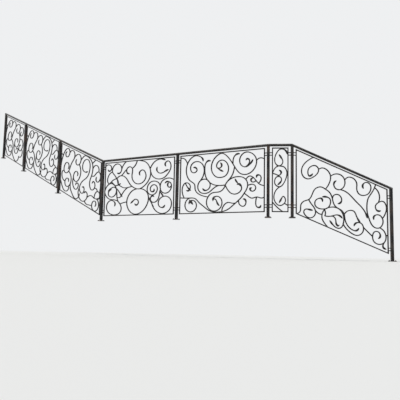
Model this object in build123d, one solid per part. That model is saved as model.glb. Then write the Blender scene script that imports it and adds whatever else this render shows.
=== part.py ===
"""Wrought-iron balustrade of an outdoor stair: an upper flight, a straight landing, a short
corner and a lower flight, with scrollwork panels framed between square posts.

Millimetres, +Z up. The origin is under the foot plate of the post where the upper flight meets
the landing. +X runs along the landing, and the outer face looks towards -Y.
"""
from build123d import *
import math
import os

# Plan and pitch
LANDING_BAY = 1545.0
CORNER_BAY = 338.0
UPPER_BAY = 1460.0
TOP_BAY = 1020.0
LOWER_BAY = 1456.0
UPPER_HEADING = -13.5
CORNER_HEADING = 22.9
LOWER_HEADING = 34.5
RISER = 151.0
GOING = 378.0
PITCH = RISER / GOING

# Posts and feet
POST = 40.0
POST_WALL = 3.0
PLATE = 90.0
PLATE_THICK = 8.0

# Handrail
RAIL_TOP = 1072.0
RAIL_DEPTH = 36.0
RAIL_WIDTH = 50.0
RAIL_FOOT_WIDTH = 38.0
RAIL_SIDE = 14.0

# Panels
FRAME_BAR = 16.0
SCROLL_BAR = 16.0
STILE_GAP = 31.0
PANEL_TOP = 1017.0
PANEL_BOTTOM = 83.0
WELD_BITE = 3.0
FACET_TURN = 30.0
LEAF = 26.0

# Fixing stubs between a stile and its post
STUB = 12.0
STUB_HEIGHTS = (152.0, 188.0, 905.0, 941.0)

# The board that a bay's scrolls are drawn on: its left edge from the left post's centre, and its
# heights over the slope of the floor. Its right edge is stated with each bay's pattern.
BOARD_LEFT = 65.0
BOARD_BOTTOM = 97.0
BOARD_TOP = 1003.0

# Bays from the head of the stair down: name, heading, length, rise per unit of run
BAYS = [
    ("upper_top", UPPER_HEADING, TOP_BAY, -PITCH),
    ("upper_middle", UPPER_HEADING, UPPER_BAY, -PITCH),
    ("upper_lower", UPPER_HEADING, UPPER_BAY, -PITCH),
    ("landing_left", 0.0, LANDING_BAY, 0.0),
    ("landing_right", 0.0, LANDING_BAY, 0.0),
    ("corner", CORNER_HEADING, CORNER_BAY, 0.0),
    ("lower", LOWER_HEADING, LOWER_BAY, -PITCH),
]
ORIGIN_POST = 3

# Runs of handrail: name, first bay, last bay
RAILS = [
    ("handrail_upper", 0, 2),
    ("handrail_landing", 3, 4),
    ("handrail_corner", 5, 5),
    ("handrail_lower", 6, 6),
]


def post_feet():
    """Foot of every post, walked from the head of the stair and moved to the origin post."""
    feet = [Vector(0, 0, 0)]
    for name, heading, length, rise in BAYS:
        angle = math.radians(heading)
        step = Vector(math.cos(angle), math.sin(angle), rise) * length
        feet.append(feet[-1] + step)
    return [foot - feet[ORIGIN_POST] for foot in feet]


def unit(v):
    return v.normalized()


def left_of(direction):
    """The direction turned a quarter turn to its left, in the drawing plane."""
    return Vector(-direction.Y, direction.X)


def circle_tangent(before, at, after):
    """Direction at the middle of three points, on the circle through them."""
    a = at - before
    b = after - at
    return unit(a * (b.length / a.length) + b * (a.length / b.length))


def tangents(points):
    """One direction per point, from the circle through it and its neighbours."""
    inner = [circle_tangent(*points[i - 1:i + 2]) for i in range(1, len(points) - 1)]
    first = unit(points[1] - points[0])
    last = unit(points[-1] - points[-2])
    start = first * (2 * first.dot(inner[0])) - inner[0]
    end = last * (2 * last.dot(inner[-1])) - inner[-1]
    return [unit(start)] + inner + [unit(end)]


def biarc(p, t, q, u):
    """Two arcs from p, heading t, to q, heading u, as (start, heading, end)."""
    v = q - p
    s = t + u
    bend = 2 * (1 - t.dot(u))
    if bend < 1e-6:
        reach = v.dot(v) / (4 * v.dot(u))
    else:
        reach = (math.sqrt(v.dot(s) ** 2 + bend * v.dot(v)) - v.dot(s)) / bend
    middle = (p + q + (t - u) * reach) * 0.5
    chord = unit(middle - p)
    turn = unit(chord * (2 * chord.dot(t)) - t)
    return [(p, t, middle), (middle, turn, q)]


def turned(direction, angle):
    """A direction turned anticlockwise, in the drawing plane."""
    return Vector(direction.X * math.cos(angle) - direction.Y * math.sin(angle),
                  direction.X * math.sin(angle) + direction.Y * math.cos(angle))


def facets(start, heading, end):
    """Stations along an arc, after its start, as (point, heading): one at each FACET_TURN."""
    chord = end - start
    half_turn = math.atan2(heading.cross(chord).Z, heading.dot(chord))
    count = max(1, round(abs(math.degrees(2 * half_turn)) / FACET_TURN))
    stations = []
    for i in range(1, count + 1):
        part = i / count
        shorter = math.sin(half_turn * part) / math.sin(half_turn) if count > 1 else 1
        reach = chord.length * shorter
        stations.append((start + turned(heading, half_turn * part) * reach,
                         turned(heading, 2 * half_turn * part)))
    return stations


def bar_face(points, start_width, end_width):
    """Outline of a bent bar whose centre line passes smoothly through the points."""
    points = [Vector(*p) for p in points]
    headings = tangents(points)
    line = [(points[0], headings[0])]
    for i in range(len(points) - 1):
        for arc in biarc(points[i], headings[i], points[i + 1], headings[i + 1]):
            line += facets(*arc)
    widths = [start_width] + [SCROLL_BAR] * (len(line) - 2) + [end_width]
    left = [at + left_of(heading) * (width / 2) for (at, heading), width in zip(line, widths)]
    right = [at - left_of(heading) * (width / 2) for (at, heading), width in zip(line, widths)]
    return make_face(Polyline(*left, *reversed(right), close=True))


def stroke(*points, start=SCROLL_BAR, end=SCROLL_BAR):
    """A bar drawn through points of the board, with the width of its two ends."""
    return lambda place: bar_face([place(s, h) for s, h in points], start, end)


def curl(s, h, radius, start_angle, turn, end_radius, start=SCROLL_BAR, end=SCROLL_BAR):
    """A scroll that winds about a point of the board, its radius easing to end_radius."""
    def wind(place):
        centre_s, centre_h = place(s, h)
        steps = max(2, round(abs(turn) / 50))
        points = []
        for i in range(steps + 1):
            part = i / steps
            r = radius + (end_radius - radius) * part ** 3
            angle = math.radians(start_angle + turn * part)
            points.append((centre_s + r * math.cos(angle), centre_h + r * math.sin(angle)))
        return bar_face(points, start, end)
    return wind


# Scrollwork, each bar from one end to the other. LEAF marks an end that is hammered out wide.
# First landing bay: a great spiral in the middle, with rings round it.
LANDING_LEFT = [
    stroke((800, 1003), (900, 985), (975, 925), (1020, 830), (1020, 730), (975, 640), (900, 570),
           (800, 525), (700, 545), (615, 600), (545, 690), (475, 755), (380, 770), (310, 720),
           end=LEAF),
    stroke((590, 800), (535, 815), (525, 880), (585, 918), (640, 885), (640, 790), (650, 700),
           (720, 625), (810, 612), (890, 650), (930, 720), (915, 800), (860, 845), (800, 815),
           (810, 750), start=LEAF, end=LEAF),
    stroke((640, 885), (705, 940), (740, 1020)),
    stroke((800, 525), (900, 505), (975, 440), (995, 340), (960, 235), (880, 145), (760, 97),
           (650, 122), (570, 210), (545, 310), (580, 420), (660, 500), (745, 525)),
    stroke((1030, 800), (1060, 735), (1130, 685), (1220, 670), (1300, 690), (1370, 750),
           (1420, 830), (1415, 920), (1370, 960), (1315, 930), (1330, 870), end=LEAF),
    stroke((1495, 640), (1430, 670), (1330, 668), (1250, 620), (1225, 545), (1245, 470),
           (1310, 430), (1390, 445), (1440, 510), (1430, 590), (1370, 620), (1315, 590), end=LEAF),
    stroke((1225, 545), (1190, 610), (1110, 640), (1020, 620), (970, 550), (975, 465), (1040, 415),
           (1120, 425), (1165, 480), (1160, 545), (1105, 580), (1050, 550), end=LEAF),
    stroke((1235, 510), (1215, 430), (1195, 350), (1135, 290), (1060, 300), (1035, 350),
           (1070, 395), (1110, 375), end=LEAF),
    stroke((1060, 300), (1100, 200), (1170, 130), (1280, 97), (1390, 130), (1450, 220), (1435, 320),
           (1360, 375), (1260, 365), (1200, 300), (1210, 225), (1280, 195), (1330, 240), end=LEAF),
    stroke((50, 505), (95, 420), (160, 375), (250, 360), (340, 335), (400, 280), (430, 200),
           (400, 130), (320, 97), (220, 103), (130, 160), (105, 250), (150, 330), (230, 345),
           (290, 300), (275, 240), end=LEAF),
    stroke((50, 505), (80, 580), (150, 640), (240, 635), (300, 570), (310, 490), (265, 425),
           (190, 410), (135, 455), (150, 520), (205, 540), end=LEAF),
    stroke((150, 640), (210, 690), (270, 720), (310, 720), (340, 640), (400, 590), (470, 560),
           (560, 560), (640, 575)),
    stroke((310, 720), (260, 790), (210, 850), (220, 930), (290, 985), (380, 960), (410, 880),
           (370, 820), (310, 830), end=LEAF),
]

# Second landing bay: one long S of two spirals over the top, eyes and rings under it.
LANDING_RIGHT = [
    stroke((1312, 872), (1262, 800), (1190, 764), (1122, 795), (1094, 868), (1122, 945),
           (1190, 987), (1268, 975), (1338, 922), (1368, 850), (1350, 755), (1290, 683),
           (1190, 648), (1095, 678), (1025, 760), (950, 872), (885, 950), (790, 1003), (690, 957),
           (630, 875), (613, 790), (640, 700), (705, 640), (785, 628), (865, 655), (908, 735),
           (900, 812), (860, 870), (790, 897), (722, 862), (705, 805), (745, 760), (825, 718),
           start=LEAF, end=LEAF),
    stroke((603, 896), (550, 902), (510, 862), (497, 790), (503, 705), (535, 620), (590, 560),
           (660, 521), (745, 505), (858, 508), start=LEAF),
    stroke((285, 812), (335, 808), (357, 772), (325, 735), (270, 740), (240, 790), (252, 858),
           (292, 895), (350, 908), (422, 886), (473, 825), (488, 750), (470, 670), (420, 598),
           start=LEAF),
    stroke((463, 900), (452, 950), (405, 985), (330, 1003), (240, 965), (180, 880), (160, 780),
           (180, 680), (243, 600), (318, 540), (330, 465), (375, 402), (450, 362), (545, 345),
           start=LEAF),
    stroke((745, 505), (660, 468), (585, 412), (490, 392), (405, 430), (377, 510), (415, 590),
           (490, 618), (565, 588), (597, 515), (565, 455), (505, 440), (462, 478), end=LEAF),
    stroke((50, 340), (150, 332), (240, 330), (330, 318), (405, 252), (480, 195), (580, 125),
           (690, 97), (800, 100), (900, 128), (990, 190), (1080, 262), (1140, 320), (1172, 368)),
    stroke((858, 508), (920, 580), (990, 613), (1070, 623), (1160, 603), (1217, 545), (1228, 480),
           (1207, 415), (1172, 368)),
    stroke((858, 508), (905, 425), (960, 375), (1020, 360), (1090, 382), (1130, 440), (1105, 505),
           (1050, 500), end=LEAF),
    stroke((985, 822), (985, 880), (1003, 935), (1045, 970), (1100, 968), end=LEAF),
    curl(685, 252, 149, 80, 430, 45, end=LEAF),
    stroke((805, 100), (835, 190), (905, 237), (990, 222), (1040, 228)),
    curl(262, 218, 114, 95, 430, 38, end=LEAF),
    stroke((1172, 368), (1235, 322), (1300, 288), (1375, 302), (1440, 285), (1500, 300)),
]

# The narrow corner bay.
CORNER = [
    stroke((270, 925), (245, 985), (175, 1001), (115, 945), (85, 850), (110, 760), (180, 700),
           (235, 620), (232, 520), (170, 447), (100, 472), (87, 540), (130, 590), (178, 560),
           start=LEAF, end=LEAF),
    stroke((110, 760), (180, 765), (212, 830), (170, 905), end=LEAF),
    stroke((170, 447), (105, 392), (75, 300), (105, 215), (175, 180), (240, 225), (225, 300),
           (160, 310), end=LEAF),
    stroke((50, 225), (110, 160), (195, 97)),
    stroke((235, 620), (255, 590), (275, 560)),
    stroke((240, 225), (265, 202), (290, 180)),
]

# Upper flight: what its long and short bays share, then the rest of each.
FLIGHT_START = [
    stroke((55, 565), (75, 680), (120, 795), (185, 905), (265, 970), (335, 965), (350, 895),
           (300, 820), (228, 805), (215, 865), (262, 905), end=LEAF),
    stroke((350, 895), (410, 965), (480, 980), (530, 940), (520, 850), (450, 750), (400, 660),
           (340, 545), (240, 480), (175, 510), (180, 600), (245, 685), (320, 690), (345, 635),
           (305, 570), end=LEAF),
    stroke((520, 850), (590, 925), (665, 965), (735, 945), (750, 870), (700, 780), (620, 750),
           (580, 790), (610, 860), end=LEAF),
    stroke((700, 780), (745, 720), (760, 625), (720, 520), (640, 435), (560, 425), (520, 480),
           (545, 570), (610, 620), (665, 595), (645, 535), end=LEAF),
    stroke((340, 545), (400, 510), (440, 435), (420, 330), (340, 245), (250, 240), (225, 310),
           (280, 385), (345, 390), (345, 330), end=LEAF),
    stroke((55, 300), (110, 215), (165, 150), (235, 125), (320, 155), (370, 225), (340, 245)),
    stroke((420, 330), (430, 230), (470, 180), (540, 120), (620, 100), (705, 150), (750, 250),
           end=LEAF),
]

UPPER_FLIGHT = FLIGHT_START + [
    stroke((1000, 735), (900, 695), (832, 715), (815, 785), (850, 875), (930, 940), (1010, 945),
           (1055, 885), (1055, 790), (1020, 685), (950, 595), (860, 525), (780, 440), (740, 345),
           (770, 280), (840, 275), (895, 345), (880, 400), (820, 380), start=LEAF, end=LEAF),
    stroke((750, 870), (800, 930), (870, 990), (960, 1005), (1060, 985), (1130, 920), (1150, 820),
           (1120, 695), (1070, 575), (1075, 480), (1140, 435), (1215, 485), (1235, 570),
           (1190, 605), (1140, 550), end=LEAF),
    stroke((1120, 695), (1200, 710), (1270, 785), (1340, 825), (1395, 785), (1385, 705),
           (1320, 635), (1265, 655), (1285, 725), end=LEAF),
    stroke((1150, 820), (1215, 905), (1290, 925), (1340, 885), (1340, 825)),
    stroke((740, 345), (700, 250), (740, 165), (820, 130), (920, 160), (990, 235), (1000, 320),
           (950, 340), (895, 290), end=LEAF),
    stroke((990, 235), (1070, 305), (1150, 330), (1230, 315), (1320, 320), (1370, 255), (1350, 165),
           (1280, 100), (1200, 95), (1160, 155), (1190, 235), (1260, 270), (1290, 225), (1250, 170),
           end=LEAF),
]

HEAD_OF_FLIGHT = FLIGHT_START + [
    stroke((750, 870), (820, 930), (890, 915), (910, 845), (870, 760), (800, 730), (780, 780),
           (830, 830), end=LEAF),
    stroke((760, 625), (830, 660), (895, 630), (915, 545), (870, 440), (780, 380), (735, 425),
           (770, 505), (830, 505), end=LEAF),
]

# Lower flight.
LOWER_FLIGHT = [
    stroke((480, 620), (400, 620), (330, 560), (290, 475), (235, 365), (170, 315), (120, 240),
           (110, 145), (60, 85)),
    stroke((292, 235), (240, 235), (185, 200), (170, 150), (200, 115), (260, 125), (320, 185),
           (342, 250), (315, 295), (270, 315), (235, 365), start=LEAF),
    stroke((438, 415), (420, 460), (370, 435), (332, 385), (330, 320), (370, 300), (440, 315),
           (510, 360), (552, 435), (545, 510), (495, 515), (430, 485), start=LEAF, end=LEAF),
    stroke((430, 65), (425, 150), (430, 230), (465, 315), (530, 375), (610, 415), (690, 420),
           (745, 385), (757, 310), (735, 235), (690, 155), (625, 125), (590, 150), (610, 205),
           (660, 215), end=LEAF),
    stroke((480, 620), (550, 595), (585, 525), (605, 460), (650, 425), (715, 415), (757, 370),
           (768, 305), (795, 245), (850, 205), (930, 210), (975, 270), end=LEAF),
    stroke((585, 525), (620, 595), (680, 620), (730, 595), (735, 535), (695, 485), (655, 485),
           end=LEAF),
    stroke((300, 775), (240, 715), (225, 780), (270, 865), (345, 905), (382, 870), (360, 795),
           (300, 720), (220, 660), (160, 665), (130, 730), (150, 820), (210, 915), (292, 1005),
           start=LEAF),
    stroke((382, 870), (450, 920), (520, 910), (560, 845), (545, 750), (480, 620)),
    stroke((560, 845), (640, 915), (720, 930), (770, 880), (760, 785), (700, 710), (630, 700),
           (610, 765), (650, 820), end=LEAF),
    stroke((770, 880), (830, 950), (905, 960), (950, 910), (950, 820), (990, 765), (1060, 780),
           (1120, 830), (1160, 915), (1150, 980), (1090, 985), (1040, 925), (1055, 875), end=LEAF),
    stroke((1235, 1020), (1180, 880), (1120, 765), (1098, 650), (1103, 540), (1130, 460),
           (1155, 410), (1210, 375), (1280, 400), (1330, 480), (1325, 560), (1270, 585),
           (1205, 540), (1200, 480), end=LEAF),
    stroke((1280, 400), (1340, 385), (1375, 320), (1350, 220), (1280, 160), (1200, 160),
           (1175, 230), (1210, 315), (1270, 330), (1290, 285), (1255, 230), end=LEAF),
    stroke((735, 235), (790, 175), (860, 145), (950, 150), (1020, 215), (1040, 305), (1000, 350),
           (930, 320), (900, 260), end=LEAF),
]

# Pattern of each bay, with the right edge of its board
PATTERNS = {
    "upper_top": (HEAD_OF_FLIGHT, 955.0),
    "upper_middle": (UPPER_FLIGHT, 1395.0),
    "upper_lower": (UPPER_FLIGHT, 1395.0),
    "landing_left": (LANDING_LEFT, 1480.0),
    "landing_right": (LANDING_RIGHT, 1480.0),
    "corner": (CORNER, 273.0),
    "lower": (LOWER_FLIGHT, 1391.0),
}


def panel_bounds(length):
    """Outer edges of a panel along its bay."""
    margin = POST / 2 + STILE_GAP
    return margin, length - margin


def panel(length, rise, scrolls, board_right):
    """Framed scrollwork of one bay, in the bay's own plane, from its left post's centre."""
    left, right = panel_bounds(length)
    inside_left = left + FRAME_BAR
    inside_right = right - FRAME_BAR
    inside_bottom = PANEL_BOTTOM + FRAME_BAR
    inside_top = PANEL_TOP - FRAME_BAR

    def raked_field(x1, x2, z1, z2):
        corners = [(x1, z1), (x2, z1), (x2, z2), (x1, z2)]
        return make_face(Polyline(*[(x, z + rise * x) for x, z in corners], close=True))

    outside = raked_field(left, right, PANEL_BOTTOM, PANEL_TOP)
    inside = raked_field(inside_left, inside_right, inside_bottom, inside_top)
    half = FRAME_BAR / 2
    reach = raked_field(left + half, right - half, PANEL_BOTTOM + half, PANEL_TOP - half)

    inset = SCROLL_BAR / 2 - WELD_BITE
    scale_s = (inside_right - inside_left - 2 * inset) / (board_right - BOARD_LEFT)
    scale_h = (inside_top - inside_bottom - 2 * inset) / (BOARD_TOP - BOARD_BOTTOM)

    def place(s, h):
        x = inside_left + inset + (s - BOARD_LEFT) * scale_s
        z = inside_bottom + inset + (h - BOARD_BOTTOM) * scale_h
        return x, z + rise * x

    bars = [scroll(place) for scroll in scrolls]
    scrollwork = reach & (Sketch() + bars)
    iron = extrude(scrollwork, amount=SCROLL_BAR / 2, both=True)
    return extrude(outside - inside, amount=FRAME_BAR / 2, both=True) + iron


def stubs(length, rise):
    """Short bars that carry a panel from the two posts of its bay, in the bay's own plane."""
    left, right = panel_bounds(length)
    bars = []
    for near, far in ((POST / 2 - POST_WALL / 3, left), (length - POST / 2 + POST_WALL / 3, right)):
        post = 0 if near < far else length
        for height in STUB_HEIGHTS:
            middle = Vector((near + far) / 2, height + rise * post)
            bars.append(Pos(middle.X, middle.Y, 0) * Box(abs(far - near), STUB, STUB))
    return bars


def rail_section(foot, heading_before, heading_after):
    """Outline of the handrail where two runs meet, in the upright plane of their mitre."""
    half_turn = math.radians(heading_after - heading_before) / 2
    across = math.radians((heading_before + heading_after) / 2 + 90)
    stretch = 1 / math.cos(half_turn)
    underside = RAIL_TOP - RAIL_DEPTH
    shoulder = underside + (RAIL_WIDTH - RAIL_FOOT_WIDTH) / 2

    def at(side, height):
        reach = side * stretch
        return foot + Vector(reach * math.cos(across), reach * math.sin(across), height)

    left_foot = at(-RAIL_FOOT_WIDTH / 2, underside)
    right_foot = at(RAIL_FOOT_WIDTH / 2, underside)
    left_shoulder = at(-RAIL_WIDTH / 2, shoulder)
    right_shoulder = at(RAIL_WIDTH / 2, shoulder)
    left_side = at(-RAIL_WIDTH / 2, shoulder + RAIL_SIDE)
    right_side = at(RAIL_WIDTH / 2, shoulder + RAIL_SIDE)
    crown = at(0, RAIL_TOP)
    return Wire([
        Line(left_foot, right_foot).edge(),
        Line(right_foot, right_shoulder).edge(),
        Line(right_shoulder, right_side).edge(),
        ThreePointArc(right_side, crown, left_side).edge(),
        Line(left_side, left_shoulder).edge(),
        Line(left_shoulder, left_foot).edge(),
    ])


def handrail(first, last, feet):
    """One straight run of handrail over bays first to last, mitred to the runs beside it."""
    heading = BAYS[first][1]
    before = BAYS[first - 1][1] if first > 0 else heading
    after = BAYS[last + 1][1] if last + 1 < len(BAYS) else heading
    along = unit(feet[last + 1] - feet[first])
    start = feet[first] - (along * (POST / 2) if first == 0 else Vector(0, 0, 0))
    end = feet[last + 1] + (along * (POST / 2) if last + 1 == len(BAYS) else Vector(0, 0, 0))
    return Solid.make_loft(
        [rail_section(start, before, heading), rail_section(end, heading, after)], ruled=True)


def post_heading(index):
    """Heading of a post: half way between its two bays."""
    before = BAYS[max(index - 1, 0)][1]
    after = BAYS[min(index, len(BAYS) - 1)][1]
    return (before + after) / 2


def stand(index, feet, shape):
    """Put a shape made about the origin at a post's foot, turned as the post is."""
    foot = feet[index]
    return Pos(foot.X, foot.Y, foot.Z) * Rot(0, 0, post_heading(index)) * shape


def post(index, feet, rails):
    """Square tube from its foot plate up to the underside of the handrail."""
    rake = PITCH * POST / 2 + 2
    reach = RAIL_TOP - RAIL_DEPTH + rake - PLATE_THICK
    upright = Box(POST, POST, reach) - Box(POST - 2 * POST_WALL, POST - 2 * POST_WALL, reach)
    tube = stand(index, feet, Pos(0, 0, PLATE_THICK + reach / 2) * upright)
    for rail in rails:
        tube -= rail
    return tube


def foot_plate(index, feet):
    """Square plate that bolts the post down."""
    return stand(index, feet, Pos(0, 0, PLATE_THICK / 2) * Box(PLATE, PLATE, PLATE_THICK))


def in_bay(bay, feet, shape):
    """Stand a shape drawn in a bay's plane upright in its place."""
    foot = feet[bay]
    return Pos(foot.X, foot.Y, foot.Z) * Rot(0, 0, BAYS[bay][1]) * Rot(90, 0, 0) * shape


def write(shape, node):
    """Write one node's STEP file, named as the node is."""
    shape.label = node
    export_step(shape, os.path.join("parts", node + ".step"))


if __name__ == "__main__":
    os.makedirs("parts", exist_ok=True)
    feet = post_feet()
    rails = {name: handrail(first, last, feet) for name, first, last in RAILS}
    for name, rail in rails.items():
        write(rail, name)
    posts = [post(index, feet, rails.values()) for index in range(len(feet))]
    for index, tube in enumerate(posts):
        write(tube, f"post_{index + 1}")
        write(foot_plate(index, feet), f"foot_plate_{index + 1}")
    for bay, (name, heading, length, rise) in enumerate(BAYS):
        write(in_bay(bay, feet, panel(length, rise, *PATTERNS[name])), f"panel_{name}")
        bars = [in_bay(bay, feet, bar) for bar in stubs(length, rise)]
        cut = [bar - posts[bay] - posts[bay + 1] for bar in bars]
        write(Compound(children=[solid for bar in cut for solid in bar.solids()]), f"stubs_{name}")
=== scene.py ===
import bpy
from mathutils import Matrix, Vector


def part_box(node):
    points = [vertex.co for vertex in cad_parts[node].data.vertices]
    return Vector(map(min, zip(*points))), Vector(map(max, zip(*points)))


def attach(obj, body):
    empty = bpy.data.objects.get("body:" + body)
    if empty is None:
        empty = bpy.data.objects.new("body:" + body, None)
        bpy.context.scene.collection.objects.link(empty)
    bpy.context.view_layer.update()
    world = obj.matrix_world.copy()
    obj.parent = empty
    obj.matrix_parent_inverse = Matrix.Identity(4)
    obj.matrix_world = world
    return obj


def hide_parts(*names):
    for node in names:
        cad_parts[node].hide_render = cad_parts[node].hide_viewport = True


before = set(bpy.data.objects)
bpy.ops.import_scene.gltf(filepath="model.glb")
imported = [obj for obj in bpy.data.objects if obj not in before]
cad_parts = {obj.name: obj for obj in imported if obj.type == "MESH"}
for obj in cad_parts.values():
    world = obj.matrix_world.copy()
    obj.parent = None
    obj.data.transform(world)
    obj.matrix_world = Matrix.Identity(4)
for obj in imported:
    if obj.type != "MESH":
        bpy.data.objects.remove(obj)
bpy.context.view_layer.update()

import math

import bpy
import numpy as np

# Posts. 40 mm square steel tube with rounded corners, welded to foot plates and let into the
# underside of the handrail, further where that rises to one side. The black paint has gone brown
# and dull in places.
METRE = 1000.0
POST = 40.0
POST_CORNER = 4.0
POST_RINGS = 26
PLATE_THICK = 8.0
RAIL_TOP = 1072.0
RAIL_DEPTH = 36.0
RAIL_BITE = 2.0
RAKED_RAIL_BITE = 10.0
POSTS_WITH_NO_RISE = (4, 5, 6)
WELD = 5.0
WELD_LUMPS = 0.12
WELD_OFF_TUBE = 1.002
WELD_WEAR = 0.3
SHARP_TURN = 50.0
BAY_HEADINGS = [-13.5, -13.5, -13.5, 0.0, 0.0, 22.9, 34.5]
BLACK_PAINT = (0.006, 0.006, 0.007, 1)
FADED_PAINT = (0.045, 0.040, 0.036, 1)
RUBBED_GREY = (0.20, 0.185, 0.17, 1)
BROWN_RUST = (0.11, 0.048, 0.022, 1)
PALE_DUST = (0.30, 0.28, 0.25, 1)
PAINT_GLOSS = 0.25
DENT_METRES = 0.0012

bays = len(BAY_HEADINGS)
plate_boxes = [np.array([tuple(corner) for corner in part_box(f"foot_plate_{n + 1}")])
               for n in range(bays + 1)]
feet = np.array([[*box.mean(0)[:2], box[0, 2]] for box in plate_boxes]) * METRE
post_headings = [(BAY_HEADINGS[max(n - 1, 0)] + BAY_HEADINGS[min(n, bays - 1)]) / 2
                 for n in range(bays + 1)]


def feed(tree, node, inputs):
    """Fill a node's inputs by name or number: a socket is linked, a number or colour is set."""
    for name, value in inputs.items():
        if isinstance(value, bpy.types.NodeSocket):
            tree.links.new(value, node.inputs[name])
        else:
            node.inputs[name].default_value = value


def node_in(tree, kind, inputs=None, **settings):
    """A new shader node of a kind in a tree, with its settings made and its inputs filled."""
    node = tree.nodes.new(f"ShaderNode{kind}")
    for name, value in settings.items():
        setattr(node, name, value)
    feed(tree, node, inputs or {})
    return node


def weathered_iron_group():
    """Shader group for painted iron out of doors. Broad noise fades the paint in patches, the
    edge attribute times noise rubs it grey, broad noise times fine noise lets rust through, and
    faces that look up gather dust. Height is a field of hammer dents with fine grain."""
    group = bpy.data.node_groups.new("weathered_iron", "ShaderNodeTree")
    for name, value in (("Paint", BLACK_PAINT), ("Faded", FADED_PAINT), ("Rubbed", RUBBED_GREY),
                        ("Rust", BROWN_RUST), ("Dust", PALE_DUST)):
        socket = group.interface.new_socket(name, in_out="INPUT", socket_type="NodeSocketColor")
        socket.default_value = value
    for name in ("Fade amount", "Wear amount", "Rust amount", "Dust amount", "Hammer scale"):
        group.interface.new_socket(name, in_out="INPUT", socket_type="NodeSocketFloat")
    for name, kind in (("Color", "Color"), ("Roughness", "Float"), ("Height", "Float")):
        group.interface.new_socket(name, in_out="OUTPUT", socket_type=f"NodeSocket{kind}")
    given = group.nodes.new("NodeGroupInput").outputs
    place = node_in(group, "TexCoord").outputs["Object"]

    # Each of these adds one node and gives what comes out of it.
    def noise(scale, detail):
        node = node_in(group, "TexNoise", {"Vector": place, "Scale": scale, "Detail": detail})
        return node.outputs["Fac"]

    def step(value, none, full):
        return node_in(group, "MapRange", {"Value": value, "From Min": none, "From Max": full},
                       interpolation_type="SMOOTHSTEP").outputs["Result"]

    def product(first, second):
        return node_in(group, "Math", {0: first, 1: second}, operation="MULTIPLY").outputs[0]

    def scaled_sum(value, by, plus):
        return node_in(group, "Math", {0: value, 1: by, 2: plus},
                       operation="MULTIPLY_ADD").outputs[0]

    def over(amount, below, above):
        return node_in(group, "Mix", {"Factor": amount, 6: below, 7: above},
                       data_type="RGBA").outputs[2]

    edge = node_in(group, "Attribute", attribute_name="edge").outputs["Fac"]
    normal = node_in(group, "NewGeometry").outputs["Normal"]
    upward = node_in(group, "SeparateXYZ", {0: normal}).outputs["Z"]
    patches = step(noise(scale=5, detail=7), none=0.42, full=0.66)
    scuffs = step(noise(scale=38, detail=6), none=0.48, full=0.66)
    blooms = step(noise(scale=7, detail=8), none=0.48, full=0.68)
    pits = step(noise(scale=120, detail=4), none=0.36, full=0.60)
    ledges = step(upward, none=0.30, full=0.95)
    drifts = step(noise(scale=24, detail=5), none=0.30, full=0.70)
    faded = product(patches, given["Fade amount"])
    rubbed = product(product(edge, scuffs), given["Wear amount"])
    rusty = product(product(blooms, pits), given["Rust amount"])
    dusty = product(product(ledges, drifts), given["Dust amount"])
    colour = over(faded, given["Paint"], given["Faded"])
    colour = over(rusty, colour, given["Rust"])
    colour = over(rubbed, colour, given["Rubbed"])
    colour = over(dusty, colour, given["Dust"])
    rough = scaled_sum(noise(scale=60, detail=4), by=0.20, plus=0.20)
    rough = scaled_sum(faded, by=0.20, plus=rough)
    rough = scaled_sum(rusty, by=0.35, plus=rough)
    rough = scaled_sum(dusty, by=0.30, plus=rough)
    dents = node_in(group, "TexVoronoi", {"Vector": place, "Scale": given["Hammer scale"]},
                    feature="SMOOTH_F1").outputs["Distance"]
    height = scaled_sum(noise(scale=420, detail=4), by=0.35, plus=dents)
    feed(group, group.nodes.new("NodeGroupOutput"),
         {"Color": colour, "Roughness": rough, "Height": height})
    return group


weathered_iron = weathered_iron_group()


def iron_finish(name, fade, wear, rust, dust, hammer_scale, relief):
    """Satin black paint on iron: the weathered group gives its colour, roughness and relief."""
    material = bpy.data.materials.new(name)
    material.use_nodes = True
    tree = material.node_tree
    weather = node_in(tree, "Group", {"Fade amount": fade, "Wear amount": wear,
                                      "Rust amount": rust, "Dust amount": dust,
                                      "Hammer scale": hammer_scale},
                      node_tree=weathered_iron).outputs
    bump = node_in(tree, "Bump", {"Strength": relief, "Distance": DENT_METRES,
                                  "Height": weather["Height"]})
    feed(tree, tree.nodes["Principled BSDF"],
         {"Base Color": weather["Color"], "Roughness": weather["Roughness"],
          "Specular IOR Level": PAINT_GLOSS, "Normal": bump.outputs["Normal"]})
    return material


def rounded_square(half, corner, per_corner=3):
    """Section of a square bar: arcs of the corner radius about four centres, anticlockwise. Also
    says how exposed each point is: 1 in the middle of a corner, 0 where it meets the flat."""
    turn = np.linspace(0, math.pi / 2, per_corner)
    angle = (np.arange(4)[:, None] * math.pi / 2 + turn).ravel()
    middle = (np.arange(4) + 0.5) * math.pi / 2
    centre = np.sign(np.stack([np.cos(middle), np.sin(middle)], -1)) * (half - corner)
    points = np.repeat(centre, per_corner, 0) + corner * np.stack([np.cos(angle), np.sin(angle)], -1)
    return points, np.tile(1 - np.abs(np.linspace(-1, 1, per_corner)), 4)


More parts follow.
